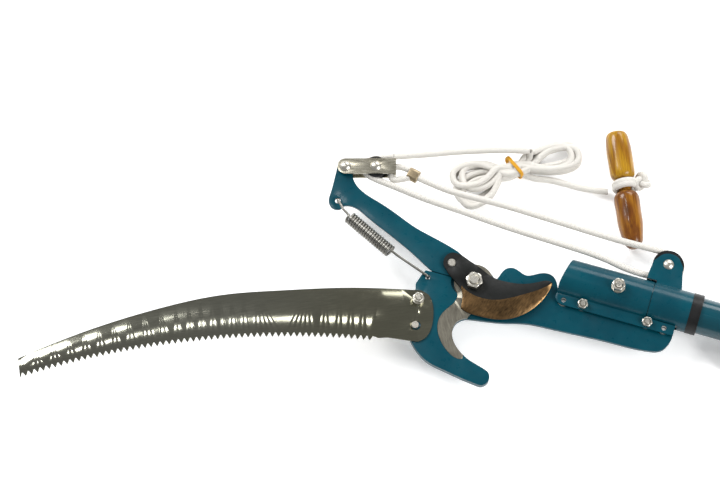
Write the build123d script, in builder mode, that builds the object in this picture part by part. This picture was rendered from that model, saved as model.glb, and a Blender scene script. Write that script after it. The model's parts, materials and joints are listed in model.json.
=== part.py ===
import os
from math import atan2, cos, degrees, hypot, radians, sin, sqrt, tan

from build123d import *

os.makedirs("parts", exist_ok=True)

# Driving sizes, mm. Modelling frame: the pivot is at X = Y = 0, the middle of
# the body plate and of the pole is at z = 0, +X runs along the pole to the butt.
pole_od = 31.0
pole_wall = 1.5
pole_axis_y = 28.0
pole_start_x = 80.0
pole_top_len = 900.0
lower_start_x = 236.0
lower_len = 900.0
slide_gap = 0.3
lower_wall = 1.6
plate_half = 2.0
face_t = 3.0
moving_gap = 0.3
sheet = 1.8
blade_t = 2.8
edge_t = 0.9
saw_t = 1.4
saw_teeth = 59
tooth_depth = 3.6
pivot_r = 4.0
run_gap = 0.08
eye_r = 17.0
rope_d = 5.2
link_pin_to_pin = 26.2
link_width = 14.0
link_sheet = 1.5
link_pulley_r = 9.6
top_pulley_r = 13.5

pole_r = pole_od / 2
sleeve_r = pole_r + sheet
lower_ir = pole_r + slide_gap
lower_r = lower_ir + lower_wall
face_z = plate_half + face_t
arm_z = plate_half + moving_gap
blade_z = face_z + moving_gap
bolt_r = 3.0
flange_bolt_r = 2.5
flange_flats = 8.0
spacer_r = 5.0
tang_top_y = pole_axis_y - pole_r - 0.5
flange_z = plate_half + 2.0
flange_edge_y = pole_axis_y - sqrt(sleeve_r**2 - (flange_z + sheet) ** 2)
flange_bolt_y = flange_edge_y - moving_gap - flange_flats / 2
sleeve_x0, sleeve_x1 = 74.0, 148.0
nut_a = (119.0, pole_axis_y)
flange_bolts_x = (94.0, 150.5)
flange_holes_x = (77.3, 165.6)
flange_holes_y = flange_bolt_y - 0.4
top_pulley = (155.2, pole_axis_y + sleeve_r + 17.7)
arm_pin = (-135.1, 69.5)
link_deg = 16.8
arm_mid_z = (arm_z + blade_z) / 2
floor_z = -(sleeve_r + 1.2 + 4.2)

made = {}


def keep(part, name):
    part.label = name
    made[name] = part


def at(x, y, z=0.0):
    return Plane(origin=(x, y, z))


def along_x(x, y, z):
    return Plane(origin=(x, y, z), x_dir=(0, 1, 0), z_dir=(1, 0, 0))


def on_link(u, v=0.0):
    a = radians(link_deg)
    return (
        arm_pin[0] + u * cos(a) - v * sin(a),
        arm_pin[1] + u * sin(a) + v * cos(a),
    )


def polar(r, deg, x=0.0, y=0.0):
    return (x + r * cos(radians(deg)), y + r * sin(radians(deg)))


def stack(layers):
    """Round or hexagonal layers on one axis: (x, y, z, radius or flats, height, bore, sides)."""
    with BuildPart() as piece:
        for x, y, z, size, height, bore, sides in layers:
            with BuildSketch(at(x, y, z)):
                if sides:
                    RegularPolygon(size / 2, sides, major_radius=False)
                else:
                    Circle(size)
                if bore > 0:
                    Circle(bore, mode=Mode.SUBTRACT)
            extrude(amount=height)
    return piece.part


def hex_nut(x, y, z, flats, height, bore_r):
    """One hexagon with a bore, standing on z."""
    return stack([(x, y, z, flats, height, bore_r, 6)])


def disc(x, y, z, r, height, bore_r=0.0):
    return stack([(x, y, z, r, height, bore_r, 0)])


def bolt(x, y, z0, z1, r, head_flats, head_h):
    """A bolt whose head is under z0 and whose shank ends at z1."""
    return stack([(x, y, z0 - head_h, head_flats, head_h, 0, 6), (x, y, z0, r, z1 - z0, 0, 0)])


def joined(solids):
    return Compound(children=list(solids))


# ---- the flat outlines of the head -------------------------------------------
hook_inner = [(2.8, -31.6), (-1.2, -33.7), (-4.4, -37), (-6.0, -41.5), (-6.0, -46.5)]
hook_inner = hook_inner + [(-4.4, -51.5), (-1.0, -56.5), (3.2, -60.5), (8.5, -64)]
hook_inner_tip = [(8.5, -64), (13, -66.4), (18.5, -68.2), (26, -70.2), (31, -71.8)]
hook_tip = [(31, -71.8), (34.6, -75), (35.3, -79.5), (33, -83.8), (28, -85.8)]
hook_outer = [(28, -85.8), (15, -84.4), (-4, -81.4), (-20, -77.8), (-31.5, -70.5), (-39.5, -62.2)]
body_low = [(174.4, 2), (172.4, -6), (168, -12), (160, -14.8), (122, -17), (75, -19.5), (54, -21)]
body_low = body_low + [(46, -22.6), (34, -26), (18, -29), (2.8, -31.6)]
body_top = [(16.6, 8.0), (19.2, 14), (22.5, 21), (28, 23.6), (34, 22.4), (41, 20.4), (47, 22.8)]
body_top = body_top + [(54.5, 26.6), (62, 26.6), (67, 22.4), (71, 15), (76, tang_top_y)]
counter_left = [(-11.5, -12.52), (-10.6, -18.5), (-13.6, -25), (-18.6, -33.5), (-20, -42)]
counter_left = counter_left + [(-18, -50), (-12, -59), (-4, -65.6), (3.5, -68.6)]
counter_left = counter_left + [(8.2, -68), (8.5, -64)]
mount = [(-39.5, -62.2), (-45.8, -58), (-46.4, -18.4), (-47.6, -14.6), (-44.6, -4.4), (-42.6, -0.6)]
spring_fix = (-39.2, -1.6 - 4.4)
saw_pin = (-37.6, -50.7)
saw_bolt = (-41.5, -27.4)

# Body plate: hook, saw mount, eye and tang in one flat piece.
with BuildPart() as body_plate:
    with BuildSketch(at(0, 0, -plate_half)):
        with BuildLine():
            Spline(hook_inner)
            Spline(hook_inner_tip)
            Spline(hook_tip)
            Spline(hook_outer)
            Polyline(mount + [(-30, 2), (-16.2, 3)])
            ThreePointArc((-16.2, 3), (0, 16.4), body_top[0])
            Spline(body_top)
            Polyline([body_top[-1], (174.4, tang_top_y), body_low[0]])
            Spline(body_low)
        make_face()
    extrude(amount=2 * plate_half)
    with BuildSketch(at(0, 0, -plate_half)):
        Circle(pivot_r)
        with Locations(spring_fix):
            Circle(2.2)
        with Locations(saw_bolt):
            Circle(2.5)
        with Locations(saw_pin):
            Circle(3.0)
        with Locations([(x, flange_bolt_y) for x in flange_bolts_x]):
            Circle(flange_bolt_r)
        with Locations([(x, flange_holes_y) for x in flange_holes_x]):
            Circle(2.2)
    extrude(amount=2 * plate_half, mode=Mode.SUBTRACT)
keep(body_plate.part, "body_plate")

# Front face of the hook and of the saw mount, beside the ground counter-blade.
with BuildPart() as hook_face:
    with BuildSketch(at(0, 0, plate_half)):
        with BuildLine():
            Polyline([(-42.6, -0.6), (-36.5, -0.3), (-19.4, -0.3)])
            ThreePointArc((-19.4, -0.3), (-17.9, -7.4), (-11.5, -12.52))
            Spline(counter_left)
            Spline(hook_inner_tip)
            Spline(hook_tip)
            Spline(hook_outer)
            Polyline(mount)
        make_face()
    extrude(amount=face_t)
    with BuildSketch(at(0, 0, plate_half)):
        with Locations(spring_fix):
            Circle(2.2)
        with Locations(saw_bolt):
            Circle(2.5)
        with Locations(saw_pin):
            Circle(3.0)
    extrude(amount=face_t, mode=Mode.SUBTRACT)
keep(hook_face.part, "hook_face")

# Counter-blade: round eye, neck and the ground inner edge of the hook.
with BuildPart() as counter_blade:
    with BuildSketch(at(0, 0, plate_half)):
        with BuildLine():
            Spline(counter_left)
            Spline(hook_inner)
            Line((2.8, -31.6), (11.5, -12.52))
            ThreePointArc((11.5, -12.52), (0, eye_r), (-11.5, -12.52))
        make_face()
        Circle(pivot_r, mode=Mode.SUBTRACT)
    extrude(amount=face_t)
keep(counter_blade.part, "counter_blade")

# ---- lever arm with the cutting blade -----------------------------------------
arm_r = eye_r + 0.5
arm_left = [(-142.2, 67), (-141.4, 56), (-140.9, 44), (-140.2, 36), (-136, 31.2), (-130, 31.2)]
arm_left = arm_left + [(-126.8, 35.5)]
arm_low = [(-126.8, 35.5), (-119, 37.2), (-104, 31.6), (-88, 24.6), (-70, 16.8), (-57, 10.6)]
arm_low = arm_low + [(-46, 4.6), (-37, 0.3)]
arm_top = [(-21, 23.6), (-31, 26.6), (-45, 30), (-62, 34.2), (-80, 41), (-98, 47.2), (-113, 52)]
arm_top = arm_top + [(-122.6, 58), (-128, 67.2)]
arm_pin_r = 3.0
blade_rivet_xy = (-23.0, 11.5)
arm_spring_xy = (-132.8, 38.7)
with BuildPart() as lever_arm:
    with BuildSketch(at(0, 0, arm_z)):
        with BuildLine():
            Spline(arm_left)
            Spline(arm_low)
            Line((-37, 0.3), (-arm_r, 0.3))
            ThreePointArc((-arm_r, 0.3), polar(arm_r, 145), polar(arm_r, 112))
            Line(polar(arm_r, 112), (-21, 23.6))
            Spline(arm_top)
            ThreePointArc((-128, 67.2), (-134.6, 76.2), (-142.2, 67))
        make_face()
        with Locations(arm_pin):
            Circle(arm_pin_r, mode=Mode.SUBTRACT)
        with Locations(arm_spring_xy):
            Circle(2.5, mode=Mode.SUBTRACT)
        with Locations(blade_rivet_xy):
            Circle(2.5, mode=Mode.SUBTRACT)
    extrude(amount=blade_z - arm_z)
keep(lever_arm.part, "lever_arm")

blade_tip = (64.4, 16.4)
blade_top = [(-24, 20.6), (-17.6, 20.4), (-10.5, 18.0), (2.8, 13.2), (10.4, 9.9), (17.5, 8.1)]
blade_top = blade_top + [(26, 8), (34, 8.8), (44, 11.4), (53, 15.8), (59.5, 18.8), (63.2, 18.6)]
blade_low = [blade_tip, (62.6, 8), (57, -4.4), (48.5, -15), (38, -22.4), (26.5, -26.3), (12, -27.6)]
blade_low = blade_low + [(1, -27), (-4.8, -25)]
blade_left = [(-4.8, -25), (-5.4, -18), (-8.2, -10), (-16.4, -3.2), (-26, 4.4)]
bevel_in = [(63.6, 17.6), (52, 7), (43.5, 1.4), (34, -4.6), (23, -9.8), (11, -11.9), (0, -10.6), (-9.5, -6.0)]
with BuildPart() as cutting_blade:
    with BuildSketch(at(0, 0, blade_z)):
        with BuildLine():
            Spline(blade_top)
            ThreePointArc((63.2, 18.6), (64.3, 17.8), blade_tip)
            Spline(blade_low)
            Spline(blade_left)
            ThreePointArc((-26, 4.4), (-30.2, 13.4), (-24, 20.6))
        make_face()
        Circle(pivot_r + run_gap, mode=Mode.SUBTRACT)
        with Locations(blade_rivet_xy):
            Circle(2.5, mode=Mode.SUBTRACT)
    extrude(amount=blade_t)
    # The ground bevel falls from its inner line to the curved edge and a little past it.
    bevel_top = Spline([(x, y, blade_z + blade_t) for x, y in bevel_in], mode=Mode.PRIVATE)
    past = [(26 + (x - 26) * 1.05, -4 + (y + 4) * 1.05, blade_z + edge_t - 0.1) for x, y in blade_low]
    bevel_low = Spline(past, mode=Mode.PRIVATE)
    slope = Face.make_surface_from_curves(bevel_top, bevel_low)
    extrude(slope, amount=6, dir=(0, 0, 1), mode=Mode.SUBTRACT)
keep(cutting_blade.part, "cutting_blade")

with BuildPart() as blade_rivet:
    with BuildSketch(at(*blade_rivet_xy, arm_z)):
        Circle(2.5)
    extrude(amount=blade_z + blade_t - arm_z)
    with BuildSketch(at(*blade_rivet_xy, blade_z + blade_t)):
        Circle(3.6)
    extrude(amount=0.9, taper=35)
keep(blade_rivet.part, "blade_rivet")

# ---- pivot: bolt, nut ----------------------------------------------------------
nut_z = blade_z + blade_t + moving_gap
keep(bolt(0, 0, -plate_half, nut_z + 8.0, pivot_r, 13.0, 5.3), "pivot_bolt")
keep(hex_nut(0, 0, nut_z, 13.0, 6.5, pivot_r), "pivot_nut")

# ---- saw blade -------------------------------------------------------------------
tip_a, tip_b, tip_c = (-344.5, -190.0), (-197.9, -111.4), (-66.3, -73.4)


def circle_through(p, q, r):
    """Centre and radius of the circle through three points."""
    d = 2 * (p[0] * (q[1] - r[1]) + q[0] * (r[1] - p[1]) + r[0] * (p[1] - q[1]))
    sp = p[0] ** 2 + p[1] ** 2
    sq = q[0] ** 2 + q[1] ** 2
    sr = r[0] ** 2 + r[1] ** 2
    cx = (sp * (q[1] - r[1]) + sq * (r[1] - p[1]) + sr * (p[1] - q[1])) / d
    cy = (sp * (r[0] - q[0]) + sq * (p[0] - r[0]) + sr * (q[0] - p[0])) / d
    return cx, cy, hypot(p[0] - cx, p[1] - cy)


tooth_cx, tooth_cy, tooth_r = circle_through(tip_a, tip_b, tip_c)
tooth_a0 = atan2(tip_a[1] - tooth_cy, tip_a[0] - tooth_cx)
tooth_a1 = atan2(tip_c[1] - tooth_cy, tip_c[0] - tooth_cx)
tooth_points = []
for i in range(saw_teeth):
    for share, depth in ((0.0, 0.0), (0.12, 0.0), (0.55, tooth_depth), (0.66, tooth_depth)):
        a = tooth_a0 + (tooth_a1 - tooth_a0) * (i + share) / saw_teeth
        rr = tooth_r + depth
        tooth_points.append((tooth_cx + rr * cos(a), tooth_cy + rr * sin(a)))
saw_spine = [(-41, -19.4), (-70, -26.2), (-99, -34), (-155, -53), (-203, -71.6), (-248, -96.6)]
saw_spine = saw_spine + [(-307, -137.4), (-351.4, -174.4)]
with BuildPart() as saw_blade:
    with BuildSketch(at(0, 0, face_z)):
        with BuildLine():
            Spline(saw_spine)
            Polyline([(-351.4, -174.4), tooth_points[0]])
            Polyline(tooth_points + [(-64.0, -70.4), (-57, -67.8), (-32, -64.4)])
            Spline([(-32, -64.4), (-25.6, -58), (-23.6, -49), (-24.6, -40), (-28.4, -28.5), (-34, -21.4)])
            Line((-34, -21.4), (-41, -19.4))
        make_face()
        with Locations(saw_bolt):
            Circle(2.5, mode=Mode.SUBTRACT)
        with Locations((saw_pin[0] + 0.8, saw_pin[1])):
            Circle(4.0, mode=Mode.SUBTRACT)
    extrude(amount=saw_t)
keep(saw_blade.part, "saw_blade")
keep(bolt(*saw_bolt, -plate_half, face_z + saw_t + 6.0, 2.5, 8.0, 3.5), "saw_screw")
saw_nut_layers = [(*saw_bolt, face_z + saw_t, 5.0, 1.0, 2.5, 0)]
saw_nut_layers.append((*saw_bolt, face_z + saw_t + 1.0, 8.0, 4.0, 2.5, 6))
keep(stack(saw_nut_layers), "saw_nut")
stud_layers = [(*saw_pin, -plate_half - 1.6, 4.6, 1.6, 0, 0)]
stud_layers.append((*saw_pin, -plate_half, 3.0, face_z + saw_t + 1.6 + plate_half, 0, 0))
keep(stack(stud_layers), "saw_stud")

# ---- clamp shells on the pole --------------------------------------------------
flange_low_y = 2.6


def shell(side):
    """A half sleeve over the pole with a flange beside it; side is +1 or -1."""
    z_in = side * flange_z
    z_out = side * (flange_z + sheet)
    y_in = pole_axis_y - sqrt(pole_r**2 - flange_z**2)
    y_out = flange_edge_y
    y_far = pole_axis_y + sqrt(pole_r**2 - 0.16)
    y_far_out = pole_axis_y + sqrt(sleeve_r**2 - 0.16)
    crest = side * pole_r
    crest_out = side * sleeve_r
    with BuildPart() as piece:
        with BuildSketch(along_x(sleeve_x0 - 4, 0, 0)):
            with BuildLine():
                ThreePointArc((y_in, z_in), (pole_axis_y, crest), (y_far, side * 0.4))
                Line((y_far, side * 0.4), (y_far_out, side * 0.4))
                ThreePointArc((y_far_out, side * 0.4), (pole_axis_y, crest_out), (y_out, z_out))
                Polyline([(y_out, z_out), (flange_low_y, z_out), (flange_low_y, z_in), (y_in, z_in)])
            make_face()
        extrude(amount=174.4 - sleeve_x0 + 4)
        # Past the sleeve only the flange goes on.
        with BuildSketch(at(0, 0, -40)):
            with BuildLine():
                Polyline([(sleeve_x1, 60), (sleeve_x1, y_out - 0.2), (180, y_out - 0.2)])
                Polyline([(180, y_out - 0.2), (180, 60), (sleeve_x1, 60)])
            make_face()
            with BuildLine():
                Polyline([(60, 60), (76, 60), (76, 44), (74, 37), (70.6, 22), (69.2, 14), (69.4, 8)])
                Polyline([(69.4, 8), (72.5, 4), (76, flange_low_y), (76, 0), (60, 0), (60, 60)])
            make_face()
        extrude(amount=80, mode=Mode.SUBTRACT)
        with BuildSketch(at(0, 0, -40)):
            with Locations([(x, flange_bolt_y) for x in flange_bolts_x]):
                Circle(flange_bolt_r)
            with Locations(nut_a):
                Circle(bolt_r)
            with Locations([(x, flange_holes_y) for x in flange_holes_x]):
                Circle(2.2)
        extrude(amount=80, mode=Mode.SUBTRACT)
    return piece.part


keep(shell(1), "clamp_front")
keep(shell(-1), "clamp_rear")

spacers = []
for x, y, bore in [(x, flange_bolt_y, flange_bolt_r) for x in flange_bolts_x] + [
    (x, flange_holes_y, 2.2) for x in flange_holes_x
]:
    spacers.append(disc(x, y, plate_half, spacer_r, flange_z - plate_half, bore))
    spacers.append(disc(x, y, -flange_z, spacer_r, flange_z - plate_half, bore))
keep(joined(spacers), "flange_spacers")
flange_top = flange_z + sheet
flange_bolt_set = []
flange_nut_set = []
for x in flange_bolts_x:
    shank_top = flange_top + 6.5
    flange_bolt_set.append(bolt(x, flange_bolt_y, -flange_top, shank_top, flange_bolt_r, flange_flats, 3.5))
    flange_nut_set.append(hex_nut(x, flange_bolt_y, flange_top, flange_flats, 4.0, flange_bolt_r))
keep(joined(flange_bolt_set), "flange_bolts")
keep(joined(flange_nut_set), "flange_nuts")
washer_z = sleeve_r + 1.2
keep(bolt(*nut_a, -washer_z, washer_z + 7.5, bolt_r, 10.0, 4.2), "sleeve_bolt")
keep(hex_nut(*nut_a, washer_z, 10.0, 5.5, bolt_r), "sleeve_nut")


def saddle(side):
    """A washer curved on one side to sit on the round sleeve."""
    z_low = sleeve_r - 1.2 if side > 0 else -washer_z
    with BuildPart() as piece:
        with BuildSketch(at(*nut_a, z_low)):
            Circle(6.0)
            Circle(bolt_r, mode=Mode.SUBTRACT)
        extrude(amount=2.4)
        with BuildSketch(along_x(nut_a[0] - 20, pole_axis_y, 0)):
            Circle(sleeve_r)
        extrude(amount=40, mode=Mode.SUBTRACT)
    return piece.part


keep(joined([saddle(1), saddle(-1)]), "sleeve_washers")

# ---- bracket of the top pulley ----------------------------------------------------
ear_half = 4.6
ear_sheet = 1.8
bracket_x0, bracket_x1 = sleeve_x1 + 0.6, 183.0
ear_base_y = pole_axis_y + sqrt(pole_r**2 - ear_half**2)
ear_low_y = pole_axis_y + sleeve_r + 1.1
with BuildPart() as pulley_bracket:
    with BuildSketch(along_x(bracket_x0, pole_axis_y, 0)):
        Circle(sleeve_r)
        Circle(pole_r, mode=Mode.SUBTRACT)
    extrude(amount=bracket_x1 - bracket_x0)
    # A flat slot lets the body plate and the flanges pass below.
    with BuildSketch(at(0, 0, -flange_top - 0.4)):
        with BuildLine():
            Polyline([(140, 0), (176, 0), (176, 15.4), (140, 15.4), (140, 0)])
        make_face()
    extrude(amount=2 * flange_top + 0.8, mode=Mode.SUBTRACT)
    for z in (ear_half, -ear_half - ear_sheet):
        with BuildSketch(at(0, 0, z)):
            with BuildLine():
                Polyline([(172, ear_base_y), (167.6, top_pulley[1] + 1), (163, top_pulley[1] + 7.4)])
                ThreePointArc(
                    (163, top_pulley[1] + 7.4),
                    (155, top_pulley[1] + 9.8),
                    (147, top_pulley[1] + 6.4),
                )
                Polyline([(147, top_pulley[1] + 6.4), (142.2, top_pulley[1]), (140.6, ear_low_y + 4.6)])
                Line((140.6, ear_low_y + 4.6), (140.6, ear_low_y))
                Polyline([(140.6, ear_low_y), (149.4, ear_low_y), (149.4, ear_base_y)])
                Line((149.4, ear_base_y), (172, ear_base_y))
            make_face()
            with Locations(top_pulley):
                Circle(2.6, mode=Mode.SUBTRACT)
        extrude(amount=ear_sheet)
keep(pulley_bracket.part, "pulley_bracket")


def pin(x, y, z0, z1, r, head_r, head_h, collars=()):
    """A pin with a domed head past each end of z0..z1, and collars of (z, radius, height)."""
    ball_r = (head_r**2 + head_h**2) / (2 * head_h)
    with BuildPart() as piece:
        with BuildSketch(Plane(origin=(x, y, 0), x_dir=(1, 0, 0), z_dir=(0, -1, 0))):
            with BuildLine():
                Line((0, z0 - head_h), (0, z1 + head_h))
                ThreePointArc(
                    (0, z1 + head_h),
                    (head_r * 0.6, z1 + head_h - ball_r + sqrt(ball_r**2 - (head_r * 0.6) ** 2)),
                    (head_r, z1),
                )
                Polyline([(head_r, z1), (r, z1), (r, z0), (head_r, z0)])
                ThreePointArc(
                    (head_r, z0),
                    (head_r * 0.6, z0 - head_h + ball_r - sqrt(ball_r**2 - (head_r * 0.6) ** 2)),
                    (0, z0 - head_h),
                )
            make_face()
        revolve(axis=Axis((x, y, 0), (0, 0, 1)), revolution_arc=360)
        for z, radius, height in collars:
            with BuildSketch(at(x, y, z)):
                Circle(radius)
            extrude(amount=height)
    return piece.part


keep(pin(*top_pulley, -ear_half - ear_sheet, ear_half + ear_sheet, 2.6, 4.6, 2.2), "top_pulley_pin")


def pulley(centre, mid_z, flange_r, root_r, bore_r, half_w):
    """A grooved wheel; its groove takes the rope."""
    x, y = centre
    with BuildPart() as wheel:
        with BuildSketch(Plane(origin=(x, y, mid_z), x_dir=(1, 0, 0), z_dir=(0, -1, 0))):
            with BuildLine():
                Polyline([(bore_r, -half_w), (flange_r, -half_w), (flange_r, -half_w + 0.6)])
                ThreePointArc((flange_r, -half_w + 0.6), (root_r, 0), (flange_r, half_w - 0.6))
                Polyline([(flange_r, half_w - 0.6), (flange_r, half_w), (bore_r, half_w)])
                Line((bore_r, half_w), (bore_r, -half_w))
            make_face()
        revolve(axis=Axis((x, y, mid_z), (0, 0, 1)), revolution_arc=360)
    return wheel.part


top_rope_r = 11.6
top_root_r = top_rope_r - rope_d / 2 - moving_gap
keep(pulley(top_pulley, 0, top_pulley_r, top_root_r, 2.6 + run_gap, 4.1), "top_pulley")

# ---- black bush and the pole ----------------------------------------------------
with BuildPart() as pole_bush:
    with BuildSketch(along_x(bracket_x1, pole_axis_y, 0)):
        Circle(sleeve_r + 0.3)
        Circle(pole_r, mode=Mode.SUBTRACT)
    extrude(amount=9.0)
    fillet(pole_bush.edges().filter_by(GeomType.CIRCLE).sort_by(Axis.X)[-1], 1.0)
keep(pole_bush.part, "pole_bush")
with BuildPart() as pole_top:
    with BuildSketch(along_x(pole_start_x, pole_axis_y, 0)):
        Circle(pole_r)
        Circle(pole_r - pole_wall, mode=Mode.SUBTRACT)
    extrude(amount=pole_top_len)
    with BuildSketch(at(*nut_a, -40)):
        Circle(bolt_r)
    extrude(amount=80, mode=Mode.SUBTRACT)
keep(pole_top.part, "pole_top")
with BuildPart() as pole_plug:
    with BuildSketch(along_x(pole_start_x + pole_top_len - 18, pole_axis_y, 0)):
        Circle(pole_r - pole_wall)
    extrude(amount=18)
    with BuildSketch(along_x(pole_start_x + pole_top_len, pole_axis_y, 0)):
        Circle(pole_r)
    extrude(amount=4)
keep(pole_plug.part, "pole_plug")
with BuildPart() as pole_lower:
    with BuildSketch(along_x(lower_start_x, pole_axis_y, 0)):
        Circle(lower_r)
        Circle(lower_ir, mode=Mode.SUBTRACT)
    extrude(amount=lower_len)
keep(pole_lower.part, "pole_lower")

# ---- lock collar with its clamping lever ----------------------------------------------
collar_x0 = lower_start_x - 10.0
collar_len = 46.0
collar_r = lower_r + 3.4
foot_y = pole_axis_y - 36.0
lock_xy = (collar_x0 + 20.0, pole_axis_y - 28.0)
with BuildPart() as lock_collar:
    with BuildSketch(along_x(collar_x0, pole_axis_y, 0)):
        Circle(collar_r)
    extrude(amount=collar_len)
    with BuildSketch(along_x(collar_x0, 0, 0)):
        with BuildLine():
            Polyline(
                [
                    (foot_y, floor_z),
                    (pole_axis_y + 16, floor_z),
                    (pole_axis_y + 16, 0),
                    (pole_axis_y - 14, 13),
                    (foot_y, 13),
                    (foot_y, floor_z),
                ]
            )
        make_face()
    extrude(amount=collar_len)
    with BuildSketch(along_x(collar_x0, pole_axis_y, 0)):
        Circle(lower_r)
    extrude(amount=collar_len, mode=Mode.SUBTRACT)
    # The clamping slot.
    with BuildSketch(along_x(collar_x0, 0, 0)):
        with BuildLine():
            Polyline([(foot_y, -1.5), (pole_axis_y - 10, -1.5), (pole_axis_y - 10, 1.5)])
            Polyline([(pole_axis_y - 10, 1.5), (foot_y, 1.5), (foot_y, -1.5)])
        make_face()
    extrude(amount=collar_len, mode=Mode.SUBTRACT)
    with BuildSketch(at(*lock_xy, floor_z)):
        Circle(3.0)
    extrude(amount=60, mode=Mode.SUBTRACT)
    with BuildSketch(at(*lock_xy, floor_z)):
        Circle(6.0)
    extrude(amount=6, mode=Mode.SUBTRACT)
keep(lock_collar.part, "lock_collar")
with BuildPart() as collar_lip:
    with BuildSketch(along_x(collar_x0 - 3.0, pole_axis_y, 0)):
        Circle(collar_r)
        Circle(pole_r + slide_gap, mode=Mode.SUBTRACT)
    extrude(amount=3.0)
    with BuildSketch(along_x(collar_x0, pole_axis_y, 0)):
        Circle(lower_r)
        Circle(pole_r + slide_gap, mode=Mode.SUBTRACT)
    extrude(amount=lower_start_x - collar_x0)
keep(collar_lip.part, "collar_lip")
screw_layers = [(*lock_xy, floor_z + 1.0, 5.0, 5.0, 0, 0)]
screw_layers.append((*lock_xy, floor_z + 6.0, 3.0, 15.0 - floor_z, 0, 0))
screw_layers.append((*lock_xy, 20.2, 4.6, 1.4, 0, 0))
keep(stack(screw_layers), "lock_screw")
with BuildPart() as lock_lever:
    with BuildSketch(at(*lock_xy, 13 + moving_gap)):
        Circle(7.5)
        with BuildLine():
            Polyline([(0, 6.5), (48, 4.0), (54, 0), (48, -6.0), (0, -6.5), (0, 6.5)])
        make_face()
    extrude(amount=6.4)
    fillet(lock_lever.edges().group_by(Axis.Z)[-1], 1.2)
    with BuildSketch(at(*lock_xy, 0)):
        Circle(3.0 + run_gap)
    extrude(amount=40, mode=Mode.SUBTRACT)
keep(lock_lever.part, "lock_lever")

# ---- grip and end cap -----------------------------------------------------------------
butt_x = lower_start_x + lower_len
grip_len = 150.0
with BuildPart() as grip:
    grip_start = (butt_x - 8 - grip_len, pole_axis_y, 0)
    with BuildSketch(Plane(origin=grip_start, x_dir=(1, 0, 0), z_dir=(0, -1, 0))):
        with BuildLine():
            Polyline([(0, lower_r), (0, lower_r + 2.2), (grip_len, lower_r + 2.2), (grip_len, lower_r)])
            Line((grip_len, lower_r), (0, lower_r))
        make_face()
        for i in range(12):
            with Locations((8 + i * 12, lower_r + 2.2)):
                Rectangle(3.0, 1.6, mode=Mode.SUBTRACT)
    revolve(axis=Axis((0, pole_axis_y, 0), (1, 0, 0)), revolution_arc=360)
keep(grip.part, "grip")
cap_len = 34.0
cap_x0 = butt_x - 8.0
with BuildPart() as end_cap:
    with BuildSketch(along_x(cap_x0, pole_axis_y, 0)):
        Circle(lower_r + 2.2)
        with Locations((0, floor_z / 2)):
            Rectangle(2 * lower_r, -floor_z)
    extrude(amount=cap_len)
    with BuildSketch(along_x(cap_x0, pole_axis_y, 0)):
        Circle(lower_r)
    extrude(amount=butt_x - cap_x0, mode=Mode.SUBTRACT)
    with BuildSketch(at(cap_x0 + cap_len - 10, pole_axis_y, -40)):
        Circle(4.0)
    extrude(amount=80, mode=Mode.SUBTRACT)
keep(end_cap.part, "end_cap")

# ---- link with the moving pulley -----------------------------------------------------
link_mid = arm_mid_z
link_half = 4.6
link_pin = on_link(link_pin_to_pin)
link_end = link_pin_to_pin + 17.5
link_plane = Plane(
    origin=(arm_pin[0], arm_pin[1], link_mid),
    x_dir=(cos(radians(link_deg)), sin(radians(link_deg)), 0),
    z_dir=(0, 0, 1),
)
with BuildPart() as link_strap:
    with BuildSketch(link_plane.offset(-link_half - link_sheet)):
        with Locations((link_end / 2, 0)):
            Rectangle(link_end, link_width)
        Circle(link_width / 2)
    extrude(amount=2 * (link_half + link_sheet))
    with BuildSketch(link_plane.offset(-link_half)):
        with Locations((link_end / 2 - link_sheet - 10, 0)):
            Rectangle(link_end + 20, link_width + 4)
    extrude(amount=2 * link_half, mode=Mode.SUBTRACT)
    with BuildSketch(link_plane.offset(-link_half - link_sheet)):
        Circle(arm_pin_r + run_gap)
        with Locations((link_pin_to_pin, 0)):
            Circle(2.6)
    extrude(amount=2 * (link_half + link_sheet), mode=Mode.SUBTRACT)
    # The rope's hole in the bow.
    with BuildSketch(Plane(origin=(*on_link(link_end - 6, 0.45), link_mid), z_dir=link_plane.x_dir)):
        Circle(rope_d / 2 + 0.8)
    extrude(amount=12, mode=Mode.SUBTRACT)
keep(link_strap.part, "link_strap")
link_out = link_half + link_sheet
arm_collars = [(blade_z, 5.0, link_mid + link_half - moving_gap - blade_z)]
arm_collars.append((link_mid - link_half + moving_gap, 5.0, arm_z - link_mid + link_half - moving_gap))
arm_pin_z = link_out + moving_gap
keep(pin(*arm_pin, link_mid - arm_pin_z, link_mid + arm_pin_z, arm_pin_r, 4.7, 2.2, arm_collars), "arm_rivet")
keep(pin(*link_pin, link_mid - link_out, link_mid + link_out, 2.6, 4.7, 2.2), "link_rivet")
link_rope_r = 9.2
link_root_r = link_rope_r - rope_d / 2 - moving_gap
keep(pulley(link_pin, link_mid, link_pulley_r, link_root_r, 2.6 + run_gap, 4.1), "link_pulley")

# ---- return spring ---------------------------------------------------------------------
spring_wire = 1.8
spring_od = 11.0
coil_a = (-119.0, 26.6)
coil_b = (-76.0, 6.4)
coil_z = 6.2
coil_deg = degrees(atan2(coil_b[1] - coil_a[1], coil_b[0] - coil_a[0]))
coil_len = hypot(coil_b[0] - coil_a[0], coil_b[1] - coil_a[1])
coil_turns = 19
coil_r = (spring_od - spring_wire) / 2
coil_dir = (cos(radians(coil_deg)), sin(radians(coil_deg)), 0)
coil_plane = Plane(origin=(*coil_a, coil_z), x_dir=(0, 0, 1), z_dir=coil_dir)
coil_path = coil_plane.location * Helix(coil_len / coil_turns, coil_len, coil_r)


def wire(points, radii, width):
    """A round tube along points rounded with the given radii."""
    with BuildPart() as tube:
        with BuildLine() as run:
            FilletPolyline(points, radius=radii)
        start = run.wires()[0]
        with BuildSketch(Plane(origin=start @ 0, z_dir=start % 0)):
            Circle(width / 2)
        sweep(path=start)
    return tube.part


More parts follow.
